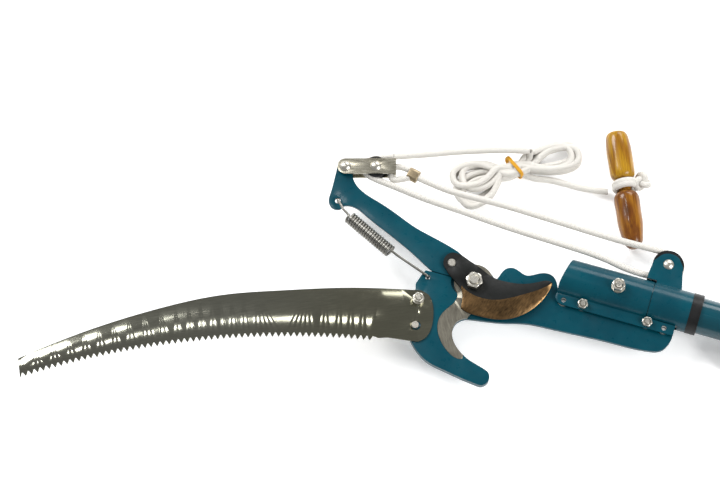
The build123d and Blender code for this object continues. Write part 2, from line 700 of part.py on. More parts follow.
with BuildPart() as spring_coil:
    with BuildSketch(Plane(origin=coil_path @ 0, z_dir=coil_path % 0)):
        Circle(spring_wire / 2)
    sweep(path=coil_path)
hook_a = wire(
    [
        coil_path @ 0,
        Vector(-125.4, 30.6, face_z + 5.4),
        Vector(arm_spring_xy[0], arm_spring_xy[1], face_z + 4.2),
        Vector(arm_spring_xy[0], arm_spring_xy[1], -0.6),
    ],
    1.6,
    spring_wire,
)
hook_b = wire(
    [
        coil_path @ 1,
        Vector(-68.0, 3.4, face_z + 4.6),
        Vector(spring_fix[0], spring_fix[1], face_z + 2.6),
        Vector(spring_fix[0], spring_fix[1], -1.0),
    ],
    1.6,
    spring_wire,
)
keep(joined([spring_coil.part.solids()[0], hook_a.solids()[0], hook_b.solids()[0]]), "return_spring")

# ---- rope -----------------------------------------------------------------------------------
cord_report = []


def cord_radii(points, limit):
    """Fillet radii: 0.45 of the shorter run over tan(half the turn), at most limit."""
    radii = []
    for p, q, r in zip(points, points[1:], points[2:]):
        a = Vector(*q) - Vector(*p)
        b = Vector(*r) - Vector(*q)
        turn = max(0.02, radians(a.get_angle(b)))
        radii.append(min(limit, 0.45 * min(a.length, b.length) / tan(turn / 2)))
    return radii


def cord(name, points, limit=400.0):
    radii = cord_radii(points, limit)
    with BuildPart() as tube:
        with BuildLine() as run:
            FilletPolyline([Vector(*p) for p in points], radius=radii)
        path = run.wires()[0]
        with BuildSketch(Plane(origin=path @ 0, z_dir=path % 0)):
            Circle(rope_d / 2)
        sweep(path=path)
    length = path.length
    ratio = tube.part.volume / (3.14159265 * rope_d**2 / 4 * length)
    cord_report.append((name, round(length, 1), round(ratio, 4), [round(r, 1) for r in radii]))
    return tube.part


def around(centre, r, start, end, steps, z0, z1):
    """Corner points of a round run so that its arcs keep the wanted radius."""
    step = (end - start) / steps
    outer = r / cos(radians(abs(step) / 2))
    points = []
    for i in range(steps):
        a = start + step * (i + 0.5)
        share = (i + 0.5) / steps
        x, y = polar(outer, a, *centre)
        points.append((x, y, z0 + (z1 - z0) * share))
    return points


ferrule_at = (-77.0, 80.0)
ferrule_deg = -12.0


def on_ferrule(u, v=0.0):
    a = radians(ferrule_deg)
    return (ferrule_at[0] + u * cos(a) - v * sin(a), ferrule_at[1] + u * sin(a) + v * cos(a))


becket_points = [
    (*on_ferrule(-1.0, 2.6), link_mid),
    (*on_link(link_end + 6.5, 1.4), link_mid),
    (*on_link(link_end - 4.6, 0.8), link_mid),
    (*on_link(link_end - 4.6, -10.6), link_mid),
    (*on_link(link_end + 3.0, -11.0), link_mid),
    (*on_ferrule(-1.0, -2.6), link_mid),
]
strand_a = [
    (-60, 76.4, 4.6),
    (-38, 74.0, 5.0),
    (-4, 75.6, 4.6),
    (46, 74.6, 3.8),
    (96, 73.2, 3.0),
    (126, 74.2, 0.9),
]
tackle_run = strand_a + around(top_pulley, top_rope_r, 96, -94, 4, 0, 0)
tackle_run = tackle_run + [
    (126, 50.0, 0.2),
    (98, 55.4, 0.8),
    (58, 56.6, 1.6),
    (16, 57.4, 2.2),
    (-30, 60.6, 2.8),
    (-62, 62.0, 3.2),
    (-86, 65.0, link_mid),
]
tackle_run = tackle_run + around(link_pin, link_rope_r, -84, -248, 4, link_mid, link_mid)
becket = cord("becket", becket_points, 9.0)
free_start = (-98.3, 91.9, 2.8)
tackle_part = cord("tackle", [(*on_ferrule(1.6), link_mid)] + tackle_run + [free_start], 200.0)
keep(joined([tackle_part.solids()[0]]), "rope_tackle")
keep(joined([becket.solids()[0]]), "rope_becket")

ferrule_way = (cos(radians(ferrule_deg)), sin(radians(ferrule_deg)), 0)
with BuildPart() as rope_ferrule:
    with BuildSketch(Plane(origin=(*ferrule_at, link_mid), x_dir=(0, 0, 1), z_dir=ferrule_way)):
        SlotOverall(11.4, 7.0, rotation=90)
    extrude(amount=5.0, both=True)
keep(rope_ferrule.part, "rope_ferrule")
# ---- free end: lead, hank, tail and pull handle ---------------------------------------------
low_rope_z = floor_z + rope_d / 2 + 0.1
lead_points = [
    free_start,
    (-74, 103.0, -3.0),
    (-50, 115.0, -8.0),
    (-26, 123.0, -6.5),
    (-4, 129.5, -5.0),
    (13, 134.0, -6.4),
]
keep(cord("lead", lead_points, 120.0), "rope_lead")
tail_points = [
    (22, 114.6, low_rope_z),
    (34, 117.8, low_rope_z),
    (50, 118.4, low_rope_z),
    (70, 118.4, low_rope_z),
    (88, 121.2, low_rope_z + 1.5),
]
keep(cord("tail", tail_points, 90.0), "rope_tail")
hank_side = [(11.5, 114), (32, 118), (50, 130), (61, 143), (61, 153), (50, 159), (34, 159), (16, 150)]
hank_side = hank_side + [(2, 138), (-4, 124)]
hank_fan = [(-4, 124), (-14, 133), (-21, 130), (-23, 120), (-34, 109), (-41, 97), (-39, 81), (-33, 72)]
hank_fan = hank_fan + [(-26, 72), (-19, 87), (-5, 104), (11.5, 114)]
with BuildPart() as rope_hank:
    with BuildSketch(at(0, 0, floor_z + 1.2)):
        with BuildLine():
            Spline(hank_side)
            Spline(hank_fan)
        make_face()
    extrude(amount=12.0)
keep(rope_hank.part, "rope_hank")
band_mid = (3.75, 119.0, floor_z + 7.2)
with BuildPart() as hank_band:
    with BuildSketch(Plane(origin=band_mid, x_dir=(0.815, -0.58, 0), z_dir=(0.58, 0.815, 0))):
        RectangleRounded(22.0, 14.0, 4.0)
        RectangleRounded(20.0, 12.0, 3.2, mode=Mode.SUBTRACT)
    extrude(amount=1.6, both=True)
keep(hank_band.part, "hank_band")
handle_r = 11.0
handle_z = floor_z + handle_r + 0.05
handle_top = (80.7, 174.0)
handle_dir = Vector(41.3, -95.8, 0).normalized()
handle_side = Vector(95.8, 41.3, 0).normalized()
neck_s = 50.0
neck_r = 5.7
with BuildPart() as pull_handle:
    with BuildSketch(
        Plane(
            origin=(*handle_top, handle_z),
            x_dir=(handle_dir.X, handle_dir.Y, 0),
            z_dir=(-handle_side.X, -handle_side.Y, 0),
        )
    ):
        with BuildLine():
            Spline([(0, 5.0), (1.6, 8.4), (7, 10.2), (20, 11.0), (34, 10.9), (42, 9.6), (44.5, neck_r)])
            Line((44.5, neck_r), (55.5, neck_r))
            Spline([(55.5, neck_r), (58, 9.6), (70, 11.0), (86, 10.8), (96, 9.4), (104, 7.2), (107.5, 4.0)])
            Polyline([(107.5, 4.0), (107.5, 0), (0, 0), (0, 5.0)])
        make_face()
    revolve(
        axis=Axis((*handle_top, handle_z), (handle_dir.X, handle_dir.Y, 0)),
        revolution_arc=360,
    )
keep(pull_handle.part, "pull_handle")
turns = []
for s in (neck_s - rope_d / 2 - 0.05, neck_s + rope_d / 2 + 0.05):
    here = Vector(*handle_top, handle_z) + handle_dir * s
    with BuildPart() as turn:
        with BuildSketch(
            Plane(origin=here, x_dir=handle_side, z_dir=handle_side.cross(handle_dir))
        ):
            with Locations((neck_r + rope_d / 2, 0)):
                Circle(rope_d / 2)
        revolve(axis=Axis(here, handle_dir), revolution_arc=360)
    turns.append(turn.part.solids()[0])
knot_at = Vector(*handle_top, handle_z) + handle_dir * neck_s + handle_side * 15.6
with BuildPart() as rope_knot:
    with Locations(Location(knot_at + Vector(0, 0, -1.4))):
        Sphere(8.2)
keep(rope_knot.part, "rope_knot")
keep(joined(turns), "neck_turns")
for item in cord_report:
    print("cord", item)

# ---- place everything on its base, centred -------------------------------------------------
cord_names = ["rope_tackle", "rope_becket", "rope_ferrule", "rope_lead", "rope_hank", "rope_tail"]
cord_names = cord_names + ["rope_knot", "neck_turns", "pull_handle", "hank_band"]
boxes = [part.bounding_box() for name, part in made.items() if name not in cord_names]
low = [min(b.min.X for b in boxes), min(b.min.Y for b in boxes), min(b.min.Z for b in boxes)]
high = [max(b.max.X for b in boxes), max(b.max.Y for b in boxes), max(b.max.Z for b in boxes)]
offset = (-(low[0] + high[0]) / 2, -(low[1] + high[1]) / 2, -low[2])
print("offset", [round(v, 3) for v in offset], "low", low, "high", high)
for name, part in made.items():
    placed = part.moved(Location(offset))
    placed.label = name
    export_step(placed, "parts/" + name + ".step")
print("parts", len(made))
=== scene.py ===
import json
import random
from math import cos, hypot, pi, radians, sin

import bmesh
import bpy
from mathutils import Matrix, Vector


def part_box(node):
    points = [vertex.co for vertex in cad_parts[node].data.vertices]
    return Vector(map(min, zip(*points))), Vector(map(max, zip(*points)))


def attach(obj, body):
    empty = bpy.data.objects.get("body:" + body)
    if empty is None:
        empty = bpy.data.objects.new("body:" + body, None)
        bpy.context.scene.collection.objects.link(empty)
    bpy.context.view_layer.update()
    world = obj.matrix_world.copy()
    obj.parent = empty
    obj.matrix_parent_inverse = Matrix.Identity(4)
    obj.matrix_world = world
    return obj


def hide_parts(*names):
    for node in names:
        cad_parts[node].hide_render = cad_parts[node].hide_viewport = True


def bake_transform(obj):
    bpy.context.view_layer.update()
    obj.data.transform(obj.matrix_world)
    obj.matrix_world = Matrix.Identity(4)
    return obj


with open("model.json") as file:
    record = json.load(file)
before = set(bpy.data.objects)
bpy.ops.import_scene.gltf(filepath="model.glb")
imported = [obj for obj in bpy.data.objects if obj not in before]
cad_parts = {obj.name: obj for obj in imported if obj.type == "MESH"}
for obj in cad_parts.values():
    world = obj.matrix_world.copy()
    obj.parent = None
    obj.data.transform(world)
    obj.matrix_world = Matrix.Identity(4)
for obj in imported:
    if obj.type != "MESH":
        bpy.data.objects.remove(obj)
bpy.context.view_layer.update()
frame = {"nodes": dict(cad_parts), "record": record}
nodes = frame["nodes"]
MM = 0.001

# The pivot of the head, in the row frame, and the middle height of its body plate.
pivot_low, pivot_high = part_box("pivot_bolt")
pivot = Vector(((pivot_low[0] + pivot_high[0]) / 2, (pivot_low[1] + pivot_high[1]) / 2, 0))
plate_low, plate_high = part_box("body_plate")
mid_z = (plate_low[2] + plate_high[2]) / 2


def at(x, y, z=0.0):
    """A point of the head's own frame, in mm from the pivot, as a row frame point in metres."""
    return Vector((pivot.x + x * MM, pivot.y + y * MM, mid_z + z * MM))


# ---- camera -------------------------------------------------------------------------
camera_azimuth = 16.5
camera_elevation = 71.0
camera_distance = 2.5
view_width = 0.618
aim = at(-104.4, 10.0, 4.0)


def set_camera():
    data = bpy.data.cameras.new("camera")
    data.sensor_width = 36.0
    data.lens = 36.0 * camera_distance / view_width
    data.clip_start = 0.01
    camera = bpy.data.objects.new("camera", data)
    bpy.context.scene.collection.objects.link(camera)
    a, e = radians(camera_azimuth), radians(camera_elevation)
    way = Vector((-sin(a) * cos(e), cos(a) * cos(e), -sin(e)))
    camera.location = aim - way * camera_distance
    camera.rotation_euler = way.to_track_quat("-Z", "Y").to_euler()
    bpy.context.scene.camera = camera


set_camera()

# ---- the pull handle's place ---------------------------------------------------------
floor = -22.7
handle_top = Vector((80.7, 174.0, 0))
handle_way = Vector((41.3, -95.8, 0)).normalized()
handle_side = Vector((95.8, 41.3, 0)).normalized()
handle_turn = -radians(66.7)
handle_z = floor + 11.05
neck_s, neck_r = 50.0, 5.7


def on_handle(s, out, up=0.0):
    """A point s mm down the handle, out mm to its side and up mm above its axis."""
    p = handle_top + handle_way * s + handle_side * out
    return (p.x, p.y, handle_z + up)


# ---- material helpers ---------------------------------------------------------------


def srgb(code):
    """A hex colour as linear RGBA."""
    channels = [int(code[i : i + 2], 16) / 255 for i in (0, 2, 4)]
    linear = [c / 12.92 if c <= 0.04045 else ((c + 0.055) / 1.055) ** 2.4 for c in channels]
    return (*linear, 1.0)


def start_material(name, colour, roughness, metallic=0.0):
    material = bpy.data.materials.new(name)
    material.use_nodes = True
    tree = material.node_tree
    shader = tree.nodes["Principled BSDF"]
    shader.inputs["Base Color"].default_value = srgb(colour)
    shader.inputs["Roughness"].default_value = roughness
    shader.inputs["Metallic"].default_value = metallic
    return material, tree, shader


def add_node(tree, kind, links=None, **values):
    """One node; links maps its input names to output sockets, values set inputs or properties."""
    node = tree.nodes.new(kind)
    for key, value in values.items():
        name = key.replace("_", " ").title()
        if key in node.bl_rna.properties:
            setattr(node, key, value)
        else:
            node.inputs[name].default_value = value
    for name, socket in (links or {}).items():
        tree.links.new(socket, node.inputs[name])
    return node


def coords(tree, stretch=(1, 1, 1), turn=0.0):
    """Object coordinates in millimetres with X turned to the angle turn, then stretched."""
    place = add_node(tree, "ShaderNodeTexCoord")
    turned = add_node(tree, "ShaderNodeMapping", {"Vector": place.outputs["Object"]})
    turned.inputs["Rotation"].default_value = (0, 0, -turn)
    mapping = add_node(tree, "ShaderNodeMapping", {"Vector": turned.outputs["Vector"]})
    mapping.inputs["Scale"].default_value = [s / MM for s in stretch]
    return mapping.outputs["Vector"]


def noise(tree, vector, size_mm, detail=4.0, roughness=0.55):
    """Noise whose features are about size_mm across."""
    links = {"Vector": vector}
    scale = 1.0 / size_mm
    node = add_node(tree, "ShaderNodeTexNoise", links, scale=scale, detail=detail, roughness=roughness)
    return node.outputs["Fac"]


def ramp(tree, factor, stops):
    """A colour ramp of (position, hex colour) stops."""
    node = add_node(tree, "ShaderNodeValToRGB", {"Fac": factor})
    elements = node.color_ramp.elements
    for i, (position, colour) in enumerate(stops):
        element = elements[i] if i < 2 else elements.new(position)
        element.position = position
        element.color = srgb(colour)
    return node.outputs["Color"]


def spread(tree, factor, low, high):
    """A 0..1 factor mapped to low..high."""
    node = add_node(tree, "ShaderNodeMapRange", {"Value": factor})
    node.inputs["From Min"].default_value = 0.3
    node.inputs["From Max"].default_value = 0.7
    node.inputs["To Min"].default_value = low
    node.inputs["To Max"].default_value = high
    return node.outputs["Result"]


def bump(tree, shader, height, depth_mm, strength=0.6):
    node = add_node(tree, "ShaderNodeBump", {"Height": height}, strength=strength, distance=depth_mm * MM)
    tree.links.new(node.outputs["Normal"], shader.inputs["Normal"])


def enamel(name, light, dark, streak=(1, 1, 1), gloss=0.12):
    """Sprayed gloss enamel: faint orange peel, a little dust and handling marks."""
    material, tree, shader = start_material(name, light, 0.3)
    place = coords(tree, streak)
    colour = ramp(tree, noise(tree, place, 30.0), [(0.35, dark), (0.65, light)])
    tree.links.new(colour, shader.inputs["Base Color"])
    tree.links.new(spread(tree, noise(tree, place, 6.0), 0.24, 0.42), shader.inputs["Roughness"])
    shader.inputs["Specular IOR Level"].default_value = 0.15
    shader.inputs["Coat Weight"].default_value = gloss
    shader.inputs["Coat Roughness"].default_value = 0.14
    bump(tree, shader, noise(tree, place, 1.4, 2.0), 0.05, 0.35)
    return material


def metal(name, light, dark, low, high, streak=(1, 1, 1), turn=0.0, grain=0.5, depth=0.02, metallic=1.0):
    """Bare metal whose streak sets the direction of its grinding or drawing marks."""
    material, tree, shader = start_material(name, light, low, metallic)
    place = coords(tree, streak, turn)
    cloud = noise(tree, coords(tree), 14.0)
    lines = noise(tree, place, grain, 6.0, 0.7)
    mixed = add_node(tree, "ShaderNodeMix", {"A": cloud, "B": lines}, data_type="FLOAT", factor=0.6)
    mixed.inputs["Factor"].default_value = 0.6
    colour = ramp(tree, mixed.outputs["Result"], [(0.36, dark), (0.62, light)])
    tree.links.new(colour, shader.inputs["Base Color"])
    tree.links.new(spread(tree, lines, low, high), shader.inputs["Roughness"])
    bump(tree, shader, lines, depth, 0.15)
    return material


def rope_material():
    """White braided polyester: white strands with painted shade in the grooves between them, a little
    fuzz.
    """
    material, tree, shader = start_material("rope_braided_polyester", "f4f2ee", 0.85)
    weave = add_node(tree, "ShaderNodeAttribute", attribute_name="weave")
    fibre = noise(tree, coords(tree), 0.35, 3.0)
    # Painted shade: where the weave height is low, in the grooves between strands, the rope is coloured
    # dark grey.
    shade = ramp(tree, weave.outputs["Fac"], [(0.0, "57544f"), (0.3, "b3b0a9"), (0.7, "dedbd5")])
    fleck = ramp(tree, fibre, [(0.3, "e2e0dc"), (0.6, "ffffff")])
    mix = add_node(tree, "ShaderNodeMix", data_type="RGBA", blend_type="MULTIPLY")
    mix.inputs["Factor"].default_value = 0.8
    tree.links.new(shade, mix.inputs[6])
    tree.links.new(fleck, mix.inputs[7])
    tree.links.new(mix.outputs[2], shader.inputs["Base Color"])
    shader.inputs["Sheen Weight"].default_value = 0.3
    bump(tree, shader, fibre, 0.12)
    return material


def multiplied(tree, first, second, share):
    """Two colours multiplied, the second by its share."""
    mix = add_node(tree, "ShaderNodeMix", data_type="RGBA", blend_type="MULTIPLY")
    mix.inputs["Factor"].default_value = share
    tree.links.new(first, mix.inputs[6])
    tree.links.new(second, mix.inputs[7])
    return mix.outputs[2]


def wood_material():
    """Turned hardwood, clear-varnished: grain along the handle, browner below the neck, a knot."""
    material, tree, shader = start_material("handle_turned_varnished_wood", "b17f1b", 0.3)
    grain = coords(tree, (0.05, 1.0, 1.0), handle_turn)
    wave = add_node(tree, "ShaderNodeTexWave", {"Vector": grain}, scale=0.16, distortion=7.0, detail=3.0)
    fine = noise(tree, grain, 0.8, 5.0)
    place = add_node(tree, "ShaderNodeSeparateXYZ", {"Vector": coords(tree, turn=handle_turn)})
    neck = at(*on_handle(neck_s, 0))
    neck_along = (neck.x * cos(handle_turn) + neck.y * sin(handle_turn)) / MM
    below = add_node(tree, "ShaderNodeMapRange", {"Value": place.outputs["X"]})
    below.inputs["From Min"].default_value = neck_along - 6
    below.inputs["From Max"].default_value = neck_along + 6
    upper = ramp(tree, wave.outputs["Fac"], [(0.0, "87590b"), (0.5, "976b0c"), (1.0, "a67c18")])
    lower = ramp(tree, wave.outputs["Fac"], [(0.0, "66390a"), (0.5, "80500c"), (1.0, "905f14")])
    halves = add_node(tree, "ShaderNodeMix", data_type="RGBA")
    tree.links.new(below.outputs["Result"], halves.inputs[0])
    tree.links.new(upper, halves.inputs[6])
    tree.links.new(lower, halves.inputs[7])
    pores = ramp(tree, fine, [(0.34, "8a6530"), (0.5, "ffffff")])
    grained = multiplied(tree, halves.outputs[2], pores, 0.5)
    knot = add_node(tree, "ShaderNodeVectorMath", operation="DISTANCE")
    tree.links.new(coords(tree, (0.55, 1.0, 1.0), handle_turn), knot.inputs[0])
    spot = at(*on_handle(neck_s + 26, -2, 9))
    along = (spot.x * cos(handle_turn) + spot.y * sin(handle_turn)) / MM
    across = (spot.y * cos(handle_turn) - spot.x * sin(handle_turn)) / MM
    knot.inputs[1].default_value = (along * 0.55, across, spot.z / MM)
    far = add_node(tree, "ShaderNodeMath", operation="DIVIDE")
    tree.links.new(knot.outputs["Value"], far.inputs[0])
    far.inputs[1].default_value = 9.0
    ring = ramp(tree, far.outputs["Value"], [(0.12, "57300d"), (0.45, "a98558"), (0.8, "ffffff")])
    tree.links.new(multiplied(tree, grained, ring, 0.85), shader.inputs["Base Color"])
    shader.inputs["Specular IOR Level"].default_value = 0.2
    shader.inputs["Coat Weight"].default_value = 0.3
    shader.inputs["Coat Roughness"].default_value = 0.1
    bump(tree, shader, fine, 0.03, 0.3)
    return material


def plastic(name, colour, other, roughness, grain_mm, depth):
    """Moulded plastic or rubber with a fine spark-eroded texture."""
    material, tree, shader = start_material(name, colour, roughness)
    shader.inputs["Specular IOR Level"].default_value = 0.2
    place = coords(tree)
    tree.links.new(
        ramp(tree, noise(tree, place, 12.0), [(0.35, colour), (0.7, other)]), shader.inputs["Base Color"]
    )
    rough = spread(tree, noise(tree, place, 4.0), roughness - 0.08, roughness + 0.08)
    tree.links.new(rough, shader.inputs["Roughness"])
    bump(tree, shader, noise(tree, place, grain_mm, 2.0), depth, 0.5)
    return material


saw_turn = radians(24.8)


def saw_material():
    """Hard-chromed steel: nearly a mirror, with faint lapping lines, slightly darker and warmer towards
    the heel.
    """
    material, tree, shader = start_material("saw_hard_chromed_polished", "b6b6a8", 0.13, 1.0)
    lines = noise(tree, coords(tree, (0.04, 1, 1), saw_turn), 0.5, 5.0, 0.7)
    place = add_node(tree, "ShaderNodeSeparateXYZ", {"Vector": coords(tree)})
    heel = add_node(tree, "ShaderNodeMapRange", {"Value": place.outputs["X"]})
    heel.inputs["From Min"].default_value = at(-185, 0).x / MM
    heel.inputs["From Max"].default_value = at(-95, 0).x / MM
    # A colour gradient along the blade: slightly darker and warmer from the middle to the heel at the
    # mount.
    heel_tint = ramp(tree, heel.outputs["Result"], [(0.0, "ffffff"), (1.0, "f4f2e8")])
    steel = ramp(tree, lines, [(0.35, "7e7e73"), (0.65, "8a8a7e")])
    tree.links.new(multiplied(tree, steel, heel_tint, 1.0), shader.inputs["Base Color"])
    tree.links.new(spread(tree, lines, 0.11, 0.17), shader.inputs["Roughness"])
    bump(tree, shader, lines, 0.002, 0.1)
    return material


paint = {
    "teal_paint": enamel("enamel_sprayed_steel", "00424f", "003a47"),
    "teal_tube": enamel("enamel_drawn_tube", "00424f", "003843", (0.2, 1, 1), 0.5),
    "ground_steel": metal("steel_surface_ground", "8a867a", "5f5c53", 0.32, 0.5, (1, 0.06, 1), 0.5),
    "coated_blade": plastic("blade_black_coated_steel", "0f1110", "191a1a", 0.5, 0.6, 0.03),
    "blade_bevel": metal("blade_bevel_bronze_ground", "8a6c48", "33291d", 0.25, 0.45, (0.08, 1, 1), 1.2),
    "saw_steel": saw_material(),
    "spring_steel": metal("spring_drawn_wire", "9c9a94", "63615b", 0.25, 0.42),
    "stainless": metal("link_polished_stainless", "c8c4b4", "a09a88", 0.2, 0.34, (0.06, 1, 1), 0.293),
    "bronze": metal("ferrule_crimped_bronze", "b3a489", "75664e", 0.3, 0.5),
    "zinc_steel": metal("hardware_zinc_plated", "e6e3da", "bdb8ac", 0.22, 0.38),
    "rope": rope_material(),
    "wood": wood_material(),
    "band": plastic("band_amber_rubber", "d09a2a", "b9851c", 0.5, 0.5, 0.02),
    "black_plastic": plastic("moulded_black_nylon", "141414", "1e1e1f", 0.42, 0.5, 0.03),
    "red_plastic": plastic("lever_moulded_black_nylon", "151515", "202021", 0.36, 0.5, 0.03),
    "rubber": plastic("grip_moulded_rubber", "191919", "242424", 0.7, 0.8, 0.08),
}
paint["lower_tube"] = paint["teal_tube"]
slot_of = {part["node"]: part["material_slot"] for part in frame["record"]["subparts"]}
body_of = {n: body for body, members in frame["record"]["behaviour"]["bodies"].items() for n in members}

# ---- mesh helpers ------------------------------------------------------------------


def new_object(name, mesh):
    obj = bpy.data.objects.new(name, mesh)
    bpy.context.scene.collection.objects.link(obj)
    return obj


def finish_mesh(obj, material, smooth=True):
    obj.data.materials.clear()
    obj.data.materials.append(material)
    if smooth:
        for polygon in obj.data.polygons:
            polygon.use_smooth = True
        obj.data.set_sharp_from_angle(angle=radians(35))
    return obj


def rounded(node, width_mm, segments=3, least=30.0, body=None):
    """A copy of a CAD node whose sharp edges are rounded; it stands for that node."""
    mesh = nodes[node].data.copy()
    work = bmesh.new()
    work.from_mesh(mesh)
    bmesh.ops.remove_doubles(work, verts=work.verts, dist=1e-6)
    bmesh.ops.dissolve_limit(work, angle_limit=radians(0.5), verts=work.verts, edges=work.edges)
    sharp = [e for e in work.edges if len(e.link_faces) == 2 and e.calc_face_angle(0) > radians(least)]
    bmesh.ops.bevel(
        work,
        geom=sharp,
        offset=width_mm * MM,
        offset_type="OFFSET",
        segments=segments,
        profile=0.5,
        affect="EDGES",
        clamp_overlap=True,
    )
    bmesh.ops.triangulate(work, faces=[f for f in work.faces if len(f.verts) > 4])
    work.to_mesh(mesh)
    work.free()
    mesh.name = node + "_mesh"
    obj = new_object(node + "_visual", mesh)
    finish_mesh(obj, paint[slot_of[node]])
    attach(obj, body or body_of[node])
    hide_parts(node)
    return obj


def grind(obj, material, least=0.5, most=0.995):
    """Gives the faces that slope gently upwards the ground material."""
    obj.data.materials.append(material)
    for polygon in obj.data.polygons:
        if least < polygon.normal.z < most and polygon.area > 2e-8:
            polygon.material_index = 1


# ---- cords ----------------------------------------------------------------------------
rope_d = 5.2
rope_wide = 5.9
link_deg = 16.8
arm_pin = (-135.1, 69.5)
link_mid = 3.8
link_end = 43.7
top_pulley = (155.2, 63.0)


def on_link(u, v=0.0):
    a = radians(link_deg)
    return (arm_pin[0] + u * cos(a) - v * sin(a), arm_pin[1] + u * sin(a) + v * cos(a))


link_pin = on_link(26.2)


def around(centre, r, start, end, steps, z):
    """Control points of a round run of radius r, in degrees from start to end."""
    step = (end - start) / steps
    outer = r / cos(radians(abs(step) / 2))
    turns = [radians(start + step * (i + 0.5)) for i in range(steps)]
    return [(centre[0] + outer * cos(a), centre[1] + outer * sin(a), z) for a in turns]


free_start = (-98.3, 91.9, 2.8)
ferrule_at = (-77.0, 80.0)
ferrule_turn = -radians(12.0)


def on_ferrule(u, v=0.0):
    c, d = cos(ferrule_turn), sin(ferrule_turn)
    return (ferrule_at[0] + u * c - v * d, ferrule_at[1] + u * d + v * c)


becket_route = [
    (*on_ferrule(-1.0, 2.6), link_mid),
    (*on_link(link_end + 6.5, 1.4), link_mid),
    (*on_link(link_end - 4.6, 0.8), link_mid),
    (*on_link(link_end - 4.6, -10.6), link_mid),
    (*on_link(link_end + 3.0, -11.0), link_mid),
    (*on_ferrule(-1.0, -2.6), link_mid),
]
tackle_route = [
    (*on_ferrule(1.6), link_mid),
    (-60, 76.4, 4.6),
    (-38, 74.0, 5.0),
    (-4, 75.6, 4.6),
    (46, 74.6, 3.8),
    (96, 73.2, 3.0),
    (126, 74.2, 0.9),
]
tackle_route += around(top_pulley, 11.6, 96, -94, 4, 0.0)
tackle_route += [
    (126, 50.0, 0.2),
    (98, 55.4, 0.8),
    (58, 56.6, 1.6),
    (16, 57.4, 2.2),
    (-30, 60.6, 2.8),
    (-62, 62.0, 3.2),
    (-86, 65.0, link_mid),
]
tackle_route += around(link_pin, 9.2, -84, -248, 4, link_mid)
tackle_route += [free_start]
lead_route = [
    free_start,
    (-74, 103.0, -3.0),
    (-50, 115.0, -8.0),
    (-26, 123.0, -6.5),
    (-4, 129.5, -5.0),
    (13, 134.0, -6.4),
]
low_z = floor + rope_wide / 2 + 0.1
tail_route = [
    (22, 114.6, low_z),
    (34, 117.8, low_z),
    (50, 118.4, low_z),
    (70, 118.4, low_z),
    (88, 121.2, low_z + 1.5),
]
waist = (3.75, 119.0)
hank_turns = 6


def hank_route():
    """The folded turns: lobes to the right and to the left of the tied waist, by turns."""
    seeded = random.Random(7)
    points = []
    for k in range(2 * hank_turns):
        right = k % 2 == 0
        reach = (60 if right else 57) * (1 - 0.06 * seeded.random() * (1 + k / 4))
        bearing = (31 if right else 222) + (seeded.random() - 0.5) * (9 if right else 30)
        width = (8.5 if right else 9.5) + 4.5 * seeded.random()
        side = 1 if (k // 2) % 2 == 0 else -1
        here = ((k % 4) - 1.5) * 4.6
        there = (((k + 1) % 4) - 1.5) * 4.6
        low = floor + 3.9 + (k // 4) * 3.0
        high = floor + 3.9 + ((k + 1) // 4) * 3.0
        a = radians(bearing)
        shape = [
            (0.0, here, 0.0),
            (0.22, here + side * 2.0, 0.12),
            (0.5, side * width * 0.85, 0.3),
            (0.78, side * width, 0.45),
            (0.98, side * width * 0.6, 0.5),
            (0.98, -side * width * 0.6, 0.55),
            (0.78, -side * width, 0.7),
            (0.5, -side * width * 0.85, 0.8),
            (0.22, there - side * 2.0, 0.9),
        ]
        for along, across, share in shape:
            x = waist[0] + reach * along * cos(a) - across * sin(a)
            y = waist[1] + reach * along * sin(a) + across * cos(a)
            points.append((x, y, low + (high - low) * share))
    return points


def route_line(name, route):
    """The points along a route's NURBS spline, in the row frame."""
    data = bpy.data.curves.new(name + "_route", "CURVE")
    data.dimensions = "3D"
    data.resolution_u = 24
    spline = data.splines.new("NURBS")
    spline.points.add(len(route) - 1)
    for point, place in zip(spline.points, route):
        point.co = (*at(*place), 1.0)
    spline.order_u = 3
    spline.use_endpoint_u = True
    curve = new_object(name + "_route", data)
    bpy.context.view_layer.update()
    mesh = bpy.data.meshes.new_from_object(curve.evaluated_get(bpy.context.evaluated_depsgraph_get()))
    line = [v.co.copy() for v in mesh.vertices]
    bpy.data.objects.remove(curve)
    bpy.data.meshes.remove(mesh)
    return line


def resample(line, step):
    """Evenly spaced points along a line, and its length."""
    spots = [0.0]
    for a, b in zip(line, line[1:]):
        spots.append(spots[-1] + (b - a).length)
    total = spots[-1]
    count = max(2, int(total / step))
    points = []
    j = 0
    for i in range(count + 1):
        s = total * i / count
        while j < len(spots) - 2 and spots[j + 1] < s:
            j += 1
        gap = spots[j + 1] - spots[j]
        share = 0.0 if gap < 1e-12 else (s - spots[j]) / gap
        points.append(line[j].lerp(line[j + 1], share))
    return points, total


def braid_height(s, angle, carriers=8, lay_mm=7.5):
    """Relief of a round braid at s mm along and angle round: 1 on a strand's back, 0 between strands."""
    u = (angle / (2 * pi) + s / lay_mm / 2) * carriers
    v = (angle / (2 * pi) - s / lay_mm / 2) * carriers
    fu, fv = u % 1.0, v % 1.0
    over = (int(u // 1) + int(v // 1)) % 2 == 0
    across, along = (fu, fv) if over else (fv, fu)
    return max(0.0, sin(pi * across)) ** 0.7 * (0.35 + 0.65 * max(0.0, sin(pi * along)) ** 0.5)


